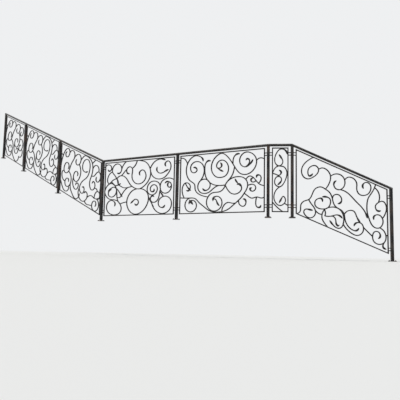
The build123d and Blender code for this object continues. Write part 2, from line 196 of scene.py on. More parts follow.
def skin(grid, edge, looped=False):
    """A closed surface over a grid of sections. Column i joins i + 1 all the way round; the last
    row joins the first where looped, else a flat face shuts each end. Where the volume inside,
    the sum over faces of point . (side x side) / 6, comes out negative, the columns run backwards."""
    rows, columns = grid.shape[:2]
    index = np.arange(rows * columns).reshape(rows, columns)
    corners = [index, np.roll(index, -1, axis=1)]
    corners += [np.roll(corner, -1, axis=0) for corner in corners[::-1]]
    quads = np.stack(corners, -1)[:rows if looped else rows - 1].reshape(-1, 4)
    points = grid.reshape(-1, 3)
    a, b, c, d = (points[quads[:, k]] - points.mean(0) for k in range(4))
    volume = np.einsum("ij,ij->", a, np.cross(b, c)) + np.einsum("ij,ij->", a, np.cross(c, d))
    ends = [] if looped else [index[0][::-1].tolist(), index[-1].tolist()]
    if volume < 0:
        quads = quads[:, ::-1]
        ends = [end[::-1] for end in ends]
    return points, quads, ends, np.broadcast_to(edge, (rows, columns)).reshape(-1)


def together(surfaces):
    """Several closed surfaces as one mesh: each one's indices move on by the points before it."""
    start = np.cumsum([0] + [len(points) for points, *_ in surfaces])
    return (np.vstack([points for points, *_ in surfaces]),
            np.vstack([quads + start[i] for i, (_, quads, _, _) in enumerate(surfaces)]),
            [[k + start[i] for k in end] for i, (_, _, ends, _) in enumerate(surfaces) for end in ends],
            np.concatenate([edge for *_, edge in surfaces]))


def turned(points, heading):
    """Points turned about the upright axis by a heading in degrees."""
    c, s = math.cos(math.radians(heading)), math.sin(math.radians(heading))
    return points @ np.array([[c, s, 0], [-s, c, 0], [0, 0, 1]])


def at_post(n, surfaces):
    """Surfaces made about the upright axis, as one, turned to a post's heading on its foot."""
    points, *rest = together(surfaces)
    return turned(points, post_headings[n]) + feet[n], *rest


def upright(section, edge, heights, grow=1.0, at=(0, 0)):
    """A section carried straight up through the heights, scaled by grow at each, over a spot."""
    grid = np.empty((len(heights), len(section), 3))
    grid[..., :2] = section * np.broadcast_to(grow, len(heights))[:, None, None] + np.array(at)
    grid[..., 2] = np.array(heights)[:, None]
    return skin(grid, edge)


def lay(name, surface, material, node):
    """Put a surface into a mesh object in metres, smooth except across sharp edges, fixed to the
    frame in place of its plain CAD node."""
    points, quads, ends, edge = surface
    mesh = bpy.data.meshes.new(name)
    mesh.from_pydata((points / METRE).tolist(), [], quads.tolist() + ends)
    mesh.attributes.new("edge", "FLOAT", "POINT").data.foreach_set("value", edge.astype(np.float32))
    mesh.materials.append(material)
    mesh.shade_smooth()
    mesh.set_sharp_from_angle(angle=math.radians(SHARP_TURN))
    piece = bpy.data.objects.new(name, mesh)
    bpy.context.scene.collection.objects.link(piece)
    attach(piece, "root")
    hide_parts(node)


def weld_round(section, seed):
    """A fillet of weld round a post's foot: four rings that draw in from the weld's leg to the
    tube by a quarter-circle hollow, with lumps from seeded noise."""
    lumps = 1 + WELD_LUMPS * np.random.default_rng(seed).standard_normal(len(section))
    hollow = np.linspace(0, math.pi / 2, 4)
    spread = (1 - np.sin(hollow))[:, None] * lumps * WELD * 2 / POST
    grid = np.empty((len(hollow), len(section), 3))
    grid[..., :2] = section * (WELD_OFF_TUBE + spread)[..., None]
    grid[..., 2] = (PLATE_THICK + WELD * (1 - np.cos(hollow)))[:, None]
    return skin(grid, WELD_WEAR)


post_iron = iron_finish("post_iron", fade=0.8, wear=0.6, rust=0.45, dust=0.2, hammer_scale=45,
                        relief=0.22)
post_section, post_edge = rounded_square(POST / 2, POST_CORNER, per_corner=5)
for n in range(bays + 1):
    into_rail = RAIL_BITE if n in POSTS_WITH_NO_RISE else RAKED_RAIL_BITE
    heights = np.linspace(PLATE_THICK, RAIL_TOP - RAIL_DEPTH + into_rail, POST_RINGS)
    parts = [upright(post_section, post_edge, heights), weld_round(post_section, n)]
    lay(f"post_{n + 1}_tube", at_post(n, parts), post_iron, f"post_{n + 1}")

# Foot plates. A square of 8 mm plate under each post, held down by four anchor bolts with nuts and
# washers. The plates rust first, because water lies on them.
PLATE = 90.0
PLATE_CORNER = 6.0
PLATE_CHAMFER = 0.8
PLATE_DRAWN_IN = 0.992
BOLT_INSET = 14.0
WASHER = 9.5
WASHER_THICK = 1.6
NUT = 7.5
NUT_HIGH = 6.5
STUD = 4.0
STUD_OUT = 4.4


def round_section(radius, sides):
    """A regular polygon, anticlockwise: radius times the cosine and sine of even turns."""
    angle = np.arange(sides) * 2 * math.pi / sides
    return radius * np.stack([np.cos(angle), np.sin(angle)], -1)


def anchor_bolt(at):
    """Washer, hexagon nut and the end of the stud, over a spot. Each is a polygon carried up from
    its foot to its top, whose top edge is broken over a depth and drawn in to a share."""
    nut_foot = PLATE_THICK + WASHER_THICK
    nut_top = nut_foot + NUT_HIGH
    turnings = ((WASHER, 20, PLATE_THICK, nut_foot, 0.4, 0.95, 0.4),
                (NUT, 6, nut_foot, nut_top, 1.0, 0.88, 0.8),
                (STUD, 12, nut_foot, nut_top + STUD_OUT, 0.8, 0.8, 0.6))
    return [upright(round_section(radius, sides), worn, [foot, top - broken, top], [1, 1, share], at)
            for radius, sides, foot, top, broken, share, worn in turnings]


plate_iron = iron_finish("plate_iron", fade=0.6, wear=0.7, rust=0.9, dust=0.6, hammer_scale=55,
                         relief=0.35)
plate_section, plate_edge = rounded_square(PLATE / 2, PLATE_CORNER)
plate_parts = [upright(plate_section, plate_edge,
                       [0, PLATE_CHAMFER, PLATE_THICK - PLATE_CHAMFER, PLATE_THICK],
                       [PLATE_DRAWN_IN, 1, 1, PLATE_DRAWN_IN])]
reach = PLATE / 2 - BOLT_INSET
for corner in ((-reach, -reach), (reach, -reach), (reach, reach), (-reach, reach)):
    plate_parts += anchor_bolt(corner)
for n in range(bays + 1):
    lay(f"foot_plate_{n + 1}_bolted", at_post(n, plate_parts), plate_iron,
        f"foot_plate_{n + 1}")

# Handrail. Rolled moulded bar, 50 mm wide: a flat foot, a hollow under each lip and a low round
# crown. Runs are mitred where the line turns or its pitch changes, welded and ground flush.
RAIL_WIDTH = 50.0
RAIL_FOOT = 38.0
FOOT_CHAMFER = 1.5
HOLLOW_HIGH = 8.0
NOSE_HIGH = 14.0
NOSE_DEEP = 3.0
HOLLOW_POINTS, NOSE_POINTS, CROWN_POINTS = 4, 5, 8
HOLLOW_WEAR, LIP_WEAR, CROWN_WEAR = 0.35, 0.9, 0.7
RAIL_STATION = 60.0
RAIL_RUNS = (("upper", 0, 3), ("landing", 3, 5), ("corner", 5, 6), ("lower", 6, 7))


def rail_moulding():
    """Section of the rail, distance across against height over the feet. One half runs up from
    the foot: a quarter-ellipse hollow, a half-ellipse nose, then a parabola of crown; the other
    half is its mirror. The lips are the most exposed, then the crown."""
    low, foot, lip = RAIL_TOP - RAIL_DEPTH, RAIL_FOOT / 2, RAIL_WIDTH / 2
    turn = np.linspace(0, math.pi / 2, HOLLOW_POINTS + 1)[:-1]
    hollow = np.stack([foot + (lip - foot) * (1 - np.cos(turn)),
                       low + FOOT_CHAMFER + (HOLLOW_HIGH - FOOT_CHAMFER) * np.sin(turn)], -1)
    turn = np.linspace(-math.pi / 2, math.pi / 2, NOSE_POINTS + 2)[1:-1]
    nose = np.stack([lip - NOSE_DEEP * (1 - np.cos(turn)),
                     low + HOLLOW_HIGH + NOSE_HIGH * (1 + np.sin(turn)) / 2], -1)
    bow = np.linspace(1, 0, CROWN_POINTS)
    crown = np.stack([(lip - NOSE_DEEP) * bow,
                      RAIL_TOP - (RAIL_DEPTH - HOLLOW_HIGH - NOSE_HIGH) * bow ** 2], -1)
    half = np.vstack([[[foot - FOOT_CHAMFER, low]], hollow, nose, crown])
    edge = np.concatenate([np.full(len(half) - CROWN_POINTS, HOLLOW_WEAR),
                           np.linspace(LIP_WEAR, CROWN_WEAR, CROWN_POINTS)])
    return np.vstack([half, half[-2::-1] * [-1, 1]]), np.concatenate([edge, edge[-2::-1]])


def rail_ring(foot, heading_before, heading_after):
    """The moulding in the upright mitre plane between two headings, over a point of the feet's
    line. Its width is divided by the cosine of half the turn, so both runs share the ring."""
    half_turn = math.radians(heading_after - heading_before) / 2
    across = math.radians((heading_before + heading_after) / 2 - 90)
    side = moulding[:, 0] / math.cos(half_turn)
    return foot + np.stack([side * math.cos(across), side * math.sin(across), moulding[:, 1]], -1)


rail_iron = iron_finish("rail_iron", fade=0.3, wear=0.6, rust=0.2, dust=0.3, hammer_scale=30,
                        relief=0.12)
moulding, moulding_edge = rail_moulding()
for name, first, last in RAIL_RUNS:
    heading = BAY_HEADINGS[first]
    before = BAY_HEADINGS[first - 1] if first > 0 else heading
    after = BAY_HEADINGS[last] if last < bays else heading
    length = np.linalg.norm(feet[last] - feet[first])
    past_post = (feet[last] - feet[first]) / length * POST / 2
    start = rail_ring(feet[first] - (past_post if first == 0 else 0), before, heading)
    end = rail_ring(feet[last] + (past_post if last == bays else 0), heading, after)
    share = np.linspace(0, 1, max(3, int(length / RAIL_STATION)))
    grid = start + share[:, None, None] * (end - start)
    lay(f"handrail_{name}_moulded", skin(grid, moulding_edge), rail_iron,
        f"handrail_{name}")

# Fixing stubs. Short 12 mm square bars, in two pairs at each end of a bay, carry the panel from
# its posts. Each is butted between post and frame and welded there.
STUB = 12.0
STUB_CORNER = 1.2
STUB_HEIGHTS = (152.0, 188.0, 905.0, 941.0)
STUB_IN_POST = 2.0
STUB_IN_FRAME = 1.0
PANEL_MARGIN = POST / 2 + 31.0
POST_BEAD, POST_BEAD_OUT = (4.5, 8.6, 8.6), 2.5
FRAME_BEAD, FRAME_BEAD_IN = (4.0, 8.4, 7.8), 1.0
BEAD_LATITUDES = [-84, -60, -35, 0, 35, 60, 84]
BEAD_SIDES = 12
BEAD_LUMPS = 0.07
BEAD_WEAR = 0.25
BAY_NAMES = ("upper_top", "upper_middle", "upper_lower", "landing_left", "landing_right",
             "corner", "lower")


def bay_line(bay):
    """A bay's level length and its rise per millimetre of that length."""
    run = feet[bay + 1] - feet[bay]
    length = math.hypot(run[0], run[1])
    return length, run[2] / length


def in_bay(bay, surfaces):
    """Surfaces of a bay's own plane, given along, up and out, as one, stood upright from its left
    post's foot."""
    points, *rest = together(surfaces)
    stood = points[:, [0, 2, 1]] * [1, -1, 1]
    return turned(stood, BAY_HEADINGS[bay]) + feet[bay], *rest


def bead(at, heading, size, seed):
    """A run of weld in the panel's plane, an ellipsoid of a half length, width and depth with its
    long axis along the heading: cosine of latitude times the cosine and sine of even turns, and
    the depth by the sine of latitude, with lumps from seeded noise. Its ends are small flats."""
    latitude = np.radians(BEAD_LATITUDES)[:, None]
    turn = np.arange(BEAD_SIDES) * 2 * math.pi / BEAD_SIDES
    shape = (len(latitude), BEAD_SIDES)
    lumps = 1 + BEAD_LUMPS * np.random.default_rng(seed).standard_normal(shape)
    long, wide, deep = size
    along = long * np.cos(latitude) * np.cos(turn) * lumps
    beside = wide * np.cos(latitude) * np.sin(turn) * lumps
    c, s = math.cos(heading), math.sin(heading)
    grid = np.stack([at[0] + along * c - beside * s, at[1] + along * s + beside * c,
                     np.broadcast_to(deep * np.sin(latitude), shape)], -1)
    return skin(grid, BEAD_WEAR)


def flat_bar(start, end, section, edge):
    """A straight bar between two points of the bay's plane, its section square to its length."""
    start, end = np.array(start), np.array(end)
    along = (end - start) / np.linalg.norm(end - start)
    across = np.array([-along[1], along[0]])
    share = np.linspace(0, 1, 3)[:, None, None]
    middle = start + share * (end - start) + section[:, :1] * across
    depth = np.broadcast_to(section[:, 1:], (len(share), len(section), 1))
    return skin(np.concatenate([middle, depth], -1), edge)


stub_section, stub_edge = rounded_square(STUB / 2, STUB_CORNER)
panel_iron = iron_finish("panel_iron", fade=0.3, wear=0.55, rust=0.2, dust=0.2, hammer_scale=85,
                         relief=0.30)
for bay, name in enumerate(BAY_NAMES):
    length, rise = bay_line(bay)
    parts = []
    for height in STUB_HEIGHTS:
        for post, toward in ((0, 1), (length, -1)):
            level = height + rise * post
            inner = post + toward * (POST / 2 - STUB_IN_POST)
            outer = post + toward * (PANEL_MARGIN + STUB_IN_FRAME)
            parts += [flat_bar((inner, level), (outer, level), stub_section, stub_edge),
                      bead((inner + toward * POST_BEAD_OUT, level), 0, POST_BEAD, seed=11),
                      bead((outer - toward * FRAME_BEAD_IN, level), 0, FRAME_BEAD, seed=12)]
    lay(f"stubs_{name}_welded", in_bay(bay, parts), panel_iron, f"stubs_{name}")

# Left landing panel. Like every panel it is a mitred frame of 16 mm square bar filled with scrolls
# of the same bar, bent round a form, their free ends forged into leaves, all welded in one plane.
FRAME_BAR = 16.0
FRAME_CORNER = 1.6
FRAME_STATIONS = 12
SCROLL_BAR = 16.0
SCROLL_CORNER = 0.27
PANEL_BOTTOM = 83.0
PANEL_TOP = 1017.0
WELD_BITE = 3.0
MARK_STATIONS = 24
STATION_LENGTH = 15.0
STATION_TURN = math.radians(7)
TIP_STATIONS = np.array([0.5, 2.0, 4.5, 8.0, 12.0, 17.0, 24.0, 33.0])
LEAST_STATION = 0.3
LEAF_WIDE = 28.0
LEAF_DEEP = 7.0
LEAF_LONG = 100.0
LEAF_FULL = 42.0
LEAF_BLUNT = 0.6
SCARF_LONG = 11.0
SCARF_THIN = 0.62
HAMMER_WAVES = [19.0, 31.0, 53.0]
HAMMERED = 0.018
FIRST_THINNER, EACH_THINNER = 0.1, 0.04
BOARD_LEFT, BOARD_BOTTOM, BOARD_TOP = 65.0, 97.0, 1003.0
TOUCHING = 17.5
TOUCHING_EDGE = 9.5
SHARED_WELD = 28.0
SCROLL_BEAD = (12.0, 6.0, 9.3)
BAR_SEEDS, BEAD_SEEDS = 100, 1000


def bent_through(marks):
    """The centre line of a bar bent through its marks: a cubic in each gap, whose second slopes
    come from the equations that keep slope and bend unbroken at each mark, with the bend of each
    end gap constant. Returned at closely spaced points."""
    gap = np.linalg.norm(np.diff(marks, axis=0), axis=1)
    count = len(marks)
    inner = np.arange(1, count - 1)
    system, load = np.zeros((count, count)), np.zeros((count, 2))
    system[inner, inner - 1] = gap[:-1]
    system[inner, inner] = 2 * (gap[:-1] + gap[1:])
    system[inner, inner + 1] = gap[1:]
    system[[0, 0, -1, -1], [0, 1, -2, -1]] = 1, -1, 1, -1
    load[1:-1] = 6 * np.diff(np.diff(marks, axis=0) / gap[:, None], axis=0)
    bend = np.linalg.solve(system, load)[:, None]
    u = np.linspace(0, 1, MARK_STATIONS + 1)[:-1, None]
    h2 = (gap ** 2 / 6)[:, None, None]
    line = ((1 - u) * marks[:-1, None] + u * marks[1:, None]
            + h2 * (((1 - u) ** 3 - (1 - u)) * bend[:-1] + (u ** 3 - u) * bend[1:]))
    return np.vstack([line.reshape(-1, 2), marks[-1:]])


def measured(line, cut):
    """The line again at stations set by the work in it, one for each length or turn of a station,
    with more near an end that isn't cut off in the frame. Gives each station's place, direction
    and distance from both ends."""
    step = np.diff(line, axis=0)
    along = np.concatenate([[0], np.cumsum(np.linalg.norm(step, axis=1))])
    heading = np.unwrap(np.arctan2(step[:, 1], step[:, 0]))
    middle = (along[1:] + along[:-1]) / 2
    turning = np.cumsum(np.abs(np.diff(heading)))
    work = along / STATION_LENGTH + np.concatenate([[0], turning, turning[-1:]]) / STATION_TURN
    station = np.interp(np.linspace(0, work[-1], int(work[-1]) + 3), work, along)
    station = np.sort(np.concatenate([station, [] if cut[0] else TIP_STATIONS,
                                      [] if cut[1] else along[-1] - TIP_STATIONS]))
    station = station[np.concatenate([[True], np.diff(station) > LEAST_STATION])]
    place = np.stack([np.interp(station, along, line[:, k]) for k in (0, 1)], -1)
    direction = np.interp(station, middle, heading)
    return place, direction, station, along[-1] - station


def smooth_step(share):
    """Three times the square less twice the cube of a share, held between 0 and 1."""
    share = np.clip(share, 0, 1)
    return share * share * (3 - 2 * share)


def forged_size(from_tip):
    """Half width and half depth near a forged tip, by distance from it. The width swells to the
    leaf's by a smooth step, then closes to a soft point as a power of a sine, while the depth
    thins all the way."""
    swell = smooth_step(1 - (from_tip - LEAF_FULL) / (LEAF_LONG - LEAF_FULL))
    closing = np.sin(np.clip(from_tip / LEAF_FULL, 0, 1) * math.pi / 2) ** LEAF_BLUNT
    wide = (SCROLL_BAR + (LEAF_WIDE - SCROLL_BAR) * swell) / 2 * closing
    deep = (SCROLL_BAR - (SCROLL_BAR - LEAF_DEEP) * smooth_step(1 - from_tip / LEAF_LONG)) / 2
    return wide, deep


def scarfed_size(from_tip):
    """Half width and half depth near a plain end, by distance from it. The width is drawn down
    by a smooth step, so that no corner of the end stands clear of the bar that it is welded to."""
    ease = smooth_step(from_tip / SCARF_LONG)
    return SCROLL_BAR / 2 * (SCARF_THIN + (1 - SCARF_THIN) * ease), SCROLL_BAR / 2


def scroll_bar(place, direction, from_start, from_end, forged, cut, seed):
    """The square section carried along the stations: station + across x half width + out x half
    depth. Slow seeded waves make the width uneven, as hammered bar is, and each bar of a panel
    is a hair thinner than the one before, so that no two faces lie in one plane."""
    wide = np.full(len(place), SCROLL_BAR / 2)
    deep = wide - FIRST_THINNER - EACH_THINNER * (seed % BAR_SEEDS)
    for k, (ends, distance) in enumerate(((("first", "both"), from_start),
                                          (("last", "both"), from_end))):
        if not cut[k]:
            tip_wide, tip_deep = (forged_size if forged in ends else scarfed_size)(distance)
            wide = wide * tip_wide / (SCROLL_BAR / 2)
            deep = deep * tip_deep / (SCROLL_BAR / 2)
    phase = np.random.default_rng(seed).uniform(0, 2 * math.pi, len(HAMMER_WAVES))
    wide = wide * (1 + HAMMERED * np.sin(from_start[:, None] / HAMMER_WAVES + phase).sum(1))
    across = np.stack([-np.sin(direction), np.cos(direction)], -1)
    grid = np.empty((len(place), len(bar_section), 3))
    grid[..., :2] = place[:, None] + across[:, None] * bar_section[:, :1] * wide[:, None, None]
    grid[..., 2] = bar_section[:, 1] * deep[:, None]
    return skin(grid, bar_edge)


def panel_frame(left, right, rise):
    """The mitred frame: the bar's section is set in from the outer edge at each of the four
    corners, and every point is lifted by the rise times its distance along the bay."""
    inset, depth = frame_section[:, 0] + FRAME_BAR / 2, frame_section[:, 1]
    corners = ((left, PANEL_BOTTOM, 1, 1), (right, PANEL_BOTTOM, -1, 1),
               (right, PANEL_TOP, -1, -1), (left, PANEL_TOP, 1, -1))
    rings = np.array([np.stack([x + sx * inset, z + sz * inset, depth], -1)
                      for x, z, sx, sz in corners])
    share = np.linspace(0, 1, FRAME_STATIONS + 1)[:-1, None, None]
    grid = np.concatenate([a + share * (b - a) for a, b in zip(rings, np.roll(rings, -1, 0))])
    grid[..., 1] += rise * grid[..., 0]
    return skin(grid, frame_edge, looped=True)


def dips(distance, limit):
    """Where a run of distances has a low point under the limit, its two ends counted."""
    padded = np.concatenate([[np.inf], distance, [np.inf]])
    return np.flatnonzero((distance <= padded[:-2]) & (distance < padded[2:]) & (distance < limit))


def heading_at(line, i):
    """The direction of a line at its point i, from the points on either side of it."""
    step = line[min(i + 1, len(line) - 1)] - line[max(i - 1, 0)]
    return math.atan2(step[1], step[0])


def weld_places(lines, inside, rise):
    """Where bars touch each other or the frame's inner edge: low points of the distance between
    two centre lines, or from a centre line to an edge, each with the first bar's direction there.
    Places close together share a weld."""
    found = []
    for k, first in enumerate(lines):
        for second in lines[k + 1:]:
            distance = np.linalg.norm(first[:, None] - second[None], axis=2)
            nearest = distance.argmin(1)
            for i in dips(distance.min(1), TOUCHING):
                found.append(((first[i] + second[nearest[i]]) / 2, heading_at(first, i)))
        level = first[:, 1] - rise * first[:, 0]
        for value, edge, axis in ((first[:, 0], inside[0], 0), (first[:, 0], inside[1], 0),
                                  (level, inside[2], 1), (level, inside[3], 1)):
            for i in dips(np.abs(value - edge), TOUCHING_EDGE):
                at = first[i].copy()
                at[axis] += edge - value[i]
                found.append((at, heading_at(first, i)))
    kept = []
    for at, heading in found:
        if all(np.linalg.norm(at - other) > SHARED_WELD for other, _ in kept):
            kept.append((at, heading))
    return kept


def lay_panel(bay, bars, board_right):
    """One bay's panel. Each bar says which of its ends is forged into a leaf, then its marks on a
    flat board. They are scaled to the bay's clear field, lifted by its rise, bent through, cut
    where the bar passes the frame's middle, and welded."""
    length, rise = bay_line(bay)
    left, right = PANEL_MARGIN, length - PANEL_MARGIN
    inside = (left + FRAME_BAR, right - FRAME_BAR, PANEL_BOTTOM + FRAME_BAR, PANEL_TOP - FRAME_BAR)
    bite = SCROLL_BAR / 2 - WELD_BITE
    scale = np.array([(inside[1] - inside[0] - 2 * bite) / (board_right - BOARD_LEFT),
                      (inside[3] - inside[2] - 2 * bite) / (BOARD_TOP - BOARD_BOTTOM)])
    parts, lines = [panel_frame(left, right, rise)], []
    for order, (forged, marks) in enumerate(bars):
        marks = (np.array(marks, float) - [BOARD_LEFT, BOARD_BOTTOM]) * scale
        marks += [inside[0] + bite, inside[2] + bite]
        marks[:, 1] += rise * marks[:, 0]
        line = bent_through(marks)
        level = line[:, 1] - rise * line[:, 0]
        middle = FRAME_BAR / 2
        within = np.flatnonzero((line[:, 0] > left + middle) & (line[:, 0] < right - middle)
                                & (level > PANEL_BOTTOM + middle) & (level < PANEL_TOP - middle))
        cut = within[0] > 0, within[-1] < len(line) - 1
        stations = measured(line[within[0]:within[-1] + 1], cut)
        lines.append(stations[0])
        parts.append(scroll_bar(*stations, forged, cut, BAR_SEEDS * bay + order))
    for order, (at, heading) in enumerate(weld_places(lines, inside, rise)):
        parts.append(bead(at, heading, SCROLL_BEAD, BEAD_SEEDS * bay + order))
    name = f"panel_{BAY_NAMES[bay]}"
    lay(f"{name}_forged", in_bay(bay, parts), panel_iron, name)


bar_section, bar_edge = rounded_square(1.0, SCROLL_CORNER)
frame_section, frame_edge = rounded_square(FRAME_BAR / 2, FRAME_CORNER)

lay_panel(3, [
    ("", [(752, 1024), (820, 1006), (900, 985), (975, 925), (1020, 830), (1020, 730), (975, 640),
         (900, 570), (800, 525), (700, 545), (615, 600), (545, 690), (475, 755), (380, 770),
         (310, 720)]),
    ("both", [(590, 800), (535, 815), (525, 880), (585, 918), (640, 885), (640, 790), (650, 700),
         (720, 625), (810, 612), (890, 650), (930, 720), (915, 800), (860, 845), (800, 815),
         (810, 750)]),
    ("", [(640, 885), (705, 940), (740, 1020)]),
    ("both", [(625, 280), (680, 325), (725, 350), (775, 335), (790, 285), (750, 252), (712, 280)]),
    ("", [(800, 525), (900, 505), (975, 440), (995, 340), (960, 235), (880, 145), (760, 97), (650, 122),
         (570, 210), (545, 310), (580, 420), (660, 500), (745, 525)]),
    ("both", [(1160, 880), (1150, 820), (1190, 775), (1260, 770), (1330, 800), (1385, 820)]),
    ("last", [(1030, 800), (1060, 735), (1130, 685), (1220, 670), (1300, 690), (1370, 750), (1420, 830),
         (1415, 920), (1370, 960), (1315, 930), (1330, 870)]),
    ("last", [(1016, 858), (1060, 930), (1130, 985), (1230, 1003), (1320, 980)]),
    ("last", [(1495, 640), (1430, 670), (1330, 668), (1250, 620), (1225, 545), (1245, 470), (1310, 430),
         (1390, 445), (1440, 510), (1430, 590), (1370, 620), (1315, 590)]),
    ("last", [(1225, 545), (1190, 610), (1110, 640), (1020, 620), (970, 550), (975, 465), (1040, 415),
         (1120, 425), (1165, 480), (1160, 545), (1105, 580), (1050, 560), (1028, 508), (1058, 464),
         (1102, 478), (1098, 516)]),
    ("last", [(1235, 510), (1215, 430), (1195, 350), (1135, 290), (1060, 300), (1035, 350), (1070, 395),
         (1110, 375)]),
    ("last", [(1060, 300), (1100, 200), (1170, 130), (1280, 97), (1390, 130), (1450, 220), (1435, 320),
         (1360, 375), (1260, 365), (1200, 300), (1210, 225), (1280, 195), (1330, 240)]),
    ("first", [(1002, 378), (1033, 319), (1069, 262), (1104, 206)]),
    ("last", [(1213, 470), (1252, 428), (1296, 372)]),
    ("last", [(1440, 545), (1395, 524), (1370, 568), (1400, 602)]),
    ("last", [(50, 505), (95, 420), (160, 375), (250, 360), (340, 335), (400, 280), (430, 200),
         (400, 130), (320, 97), (220, 103), (130, 160), (105, 250), (150, 330), (230, 345), (290, 300),
         (275, 240)]),
    ("last", [(50, 505), (80, 580), (150, 640), (240, 635), (300, 570), (310, 490), (265, 425),
         (190, 410), (135, 455), (150, 520), (205, 540)]),
    ("last", [(398, 284), (332, 383), (321, 489), (303, 558), (268, 608), (221, 649), (193, 682)]),
    ("first", [(352, 636), (330, 695), (276, 767)]),
    ("last", [(275, 606), (339, 612), (404, 641)]),
    ("last", [(310, 556), (369, 497), (408, 447), (446, 398)]),
    ("last", [(306, 548), (243, 580), (194, 563), (123, 508)]),
    ("", [(150, 640), (210, 690), (270, 720), (310, 720), (340, 640), (400, 590), (470, 560),
         (560, 560), (640, 575)]),
    ("last", [(310, 720), (260, 790), (210, 850), (220, 930), (290, 985), (380, 960), (410, 880),
         (370, 820), (310, 830)]),
    ("", [(410, 880), (440, 950), (522, 1022)]),
    ("", [(525, 880), (470, 830), (430, 790), (400, 770)]),
    ("last", [(50, 960), (110, 985), (170, 960), (185, 900), (140, 870), (105, 905)]),
    ("", [(210, 850), (150, 820), (110, 750), (110, 680), (150, 640)]),
    ("", [(400, 280), (470, 300), (545, 310)]),
    ("", [(560, 560), (500, 520), (440, 450), (400, 400), (335, 400)]),
], board_right=1480.0)

# Right landing panel. One long bar winds into a large double scroll, waves of bar run from stile
# to stile below it, and whorls fill the loops.
lay_panel(4, [
    ("both", [(1312, 872), (1262, 800), (1190, 764), (1122, 795), (1094, 868), (1122, 945), (1190, 987),
         (1268, 975), (1338, 922), (1368, 850), (1350, 755), (1290, 683), (1190, 648), (1095, 678),
         (1025, 760), (950, 872), (885, 950), (790, 1003), (690, 957), (630, 875), (613, 790),
         (640, 700), (705, 640), (785, 628), (865, 655), (908, 735), (900, 812), (860, 870), (790, 897),
         (722, 862), (705, 805), (745, 760), (825, 718)]),
    ("first", [(603, 896), (550, 902), (510, 862), (497, 790), (503, 705), (535, 620), (590, 560),
         (660, 521), (745, 505), (858, 508)]),
    ("first", [(285, 812), (335, 808), (357, 772), (325, 735), (270, 740), (240, 790), (252, 858),
         (292, 895), (350, 908), (422, 886), (473, 825), (488, 750), (470, 670), (420, 598)]),
    ("first", [(463, 900), (452, 950), (405, 985), (330, 1003), (240, 965), (180, 880), (160, 780),
         (180, 680), (243, 600), (318, 540), (330, 465), (375, 402), (450, 362), (560, 336)]),
    ("last", [(745, 505), (660, 468), (585, 412), (490, 392), (405, 430), (377, 510), (415, 590),
         (490, 618), (565, 588), (597, 515), (565, 455), (505, 440), (462, 478)]),
    ("", [(50, 340), (150, 332), (240, 330), (330, 318), (405, 252), (480, 195), (580, 125), (690, 97),
         (800, 100), (900, 128), (990, 190), (1080, 262), (1140, 320), (1172, 368)]),
    ("", [(858, 508), (920, 580), (990, 613), (1070, 623), (1160, 603), (1217, 545), (1228, 480),
         (1207, 415), (1172, 368)]),
    ("last", [(858, 508), (905, 425), (960, 375), (1020, 360), (1090, 382), (1130, 440), (1105, 505),
         (1050, 500)]),
    ("last", [(1126, 470), (1090, 500), (1052, 541), (1018, 598)]),
    ("", [(1012, 785), (1003, 740), (986, 680), (961, 633), (911, 578), (862, 515)]),
    ("last", [(726, 782), (763, 777), (791, 805), (786, 840), (762, 859)]),
    ("last", [(1195, 766), (1239, 803), (1257, 839), (1243, 877), (1211, 884), (1198, 860)]),
    ("last", [(985, 822), (985, 880), (1003, 935), (1045, 970), (1100, 968)]),
    ("last", [(858, 508), (826, 448), (775, 412), (715, 402), (649, 397), (589, 366), (537, 252),
         (592, 141), (709, 116), (796, 188), (792, 291), (717, 339), (652, 309), (646, 274)]),
    ("last", [(650, 276), (672, 300), (700, 286), (724, 238), (766, 190)]),
    ("", [(805, 100), (835, 190), (905, 237), (990, 222), (1040, 228)]),
    ("last", [(252, 332), (171, 287), (151, 197), (204, 123), (292, 115), (353, 174), (347, 252),
         (289, 291), (234, 272), (225, 228)]),
    ("both", [(222, 304), (262, 262), (298, 222)]),
    ("last", [(130, 338), (95, 420), (100, 520), (150, 575), (215, 560), (240, 500), (210, 450),
         (165, 460)]),
    ("last", [(150, 575), (178, 520), (212, 482), (254, 446)]),
    ("", [(1172, 368), (1235, 322), (1300, 288), (1375, 302), (1440, 285), (1500, 300)]),
    ("last", [(1375, 302), (1360, 220), (1382, 155), (1425, 150), (1440, 185)]),
    ("last", [(1085, 268), (1110, 190), (1165, 172), (1202, 215), (1190, 270), (1150, 280)]),
    ("", [(1197, 572), (1270, 620), (1340, 575), (1400, 505), (1495, 465)]),
    ("last", [(1228, 480), (1268, 492), (1330, 487), (1358, 445), (1335, 400), (1285, 398), (1268, 430),
         (1302, 440)]),
    ("last", [(1362, 556), (1339, 531), (1286, 542), (1288, 578), (1320, 584)]),
    ("last", [(1400, 505), (1440, 560), (1425, 620), (1380, 625), (1372, 585)]),
    ("", [(50, 980), (115, 972), (157, 930), (180, 880)]),
    ("", [(1368, 850), (1420, 880), (1495, 860)]),
], board_right=1480.0)

# Corner panel. A narrow one, for the short turn between the level stretch and the lower one: an
# upright wave swells out to the right stile, with rings along it and a leaf across each ring.
lay_panel(5, [
    ("both", [(270, 925), (245, 985), (175, 1001), (115, 945), (85, 850), (100, 785), (150, 752),
         (215, 742), (258, 700), (271, 635), (256, 565), (222, 495), (170, 447), (100, 472),
         (87, 540), (118, 590), (165, 592), (190, 548), (165, 503), (127, 470)]),
    ("last", [(100, 785), (150, 752), (196, 777), (208, 825), (184, 874), (149, 924)]),
    ("last", [(170, 447), (105, 392), (75, 300), (100, 215), (165, 172), (232, 205), (247, 268),
         (217, 305), (186, 268), (152, 207)]),
    ("", [(50, 630), (68, 682), (100, 728), (150, 752)]),
    ("last", [(50, 640), (99, 629), (155, 615), (184, 650), (148, 692)]),
    ("", [(50, 225), (110, 160), (222, 76)]),
    ("", [(232, 205), (262, 188), (290, 172)]),
], board_right=273.0)

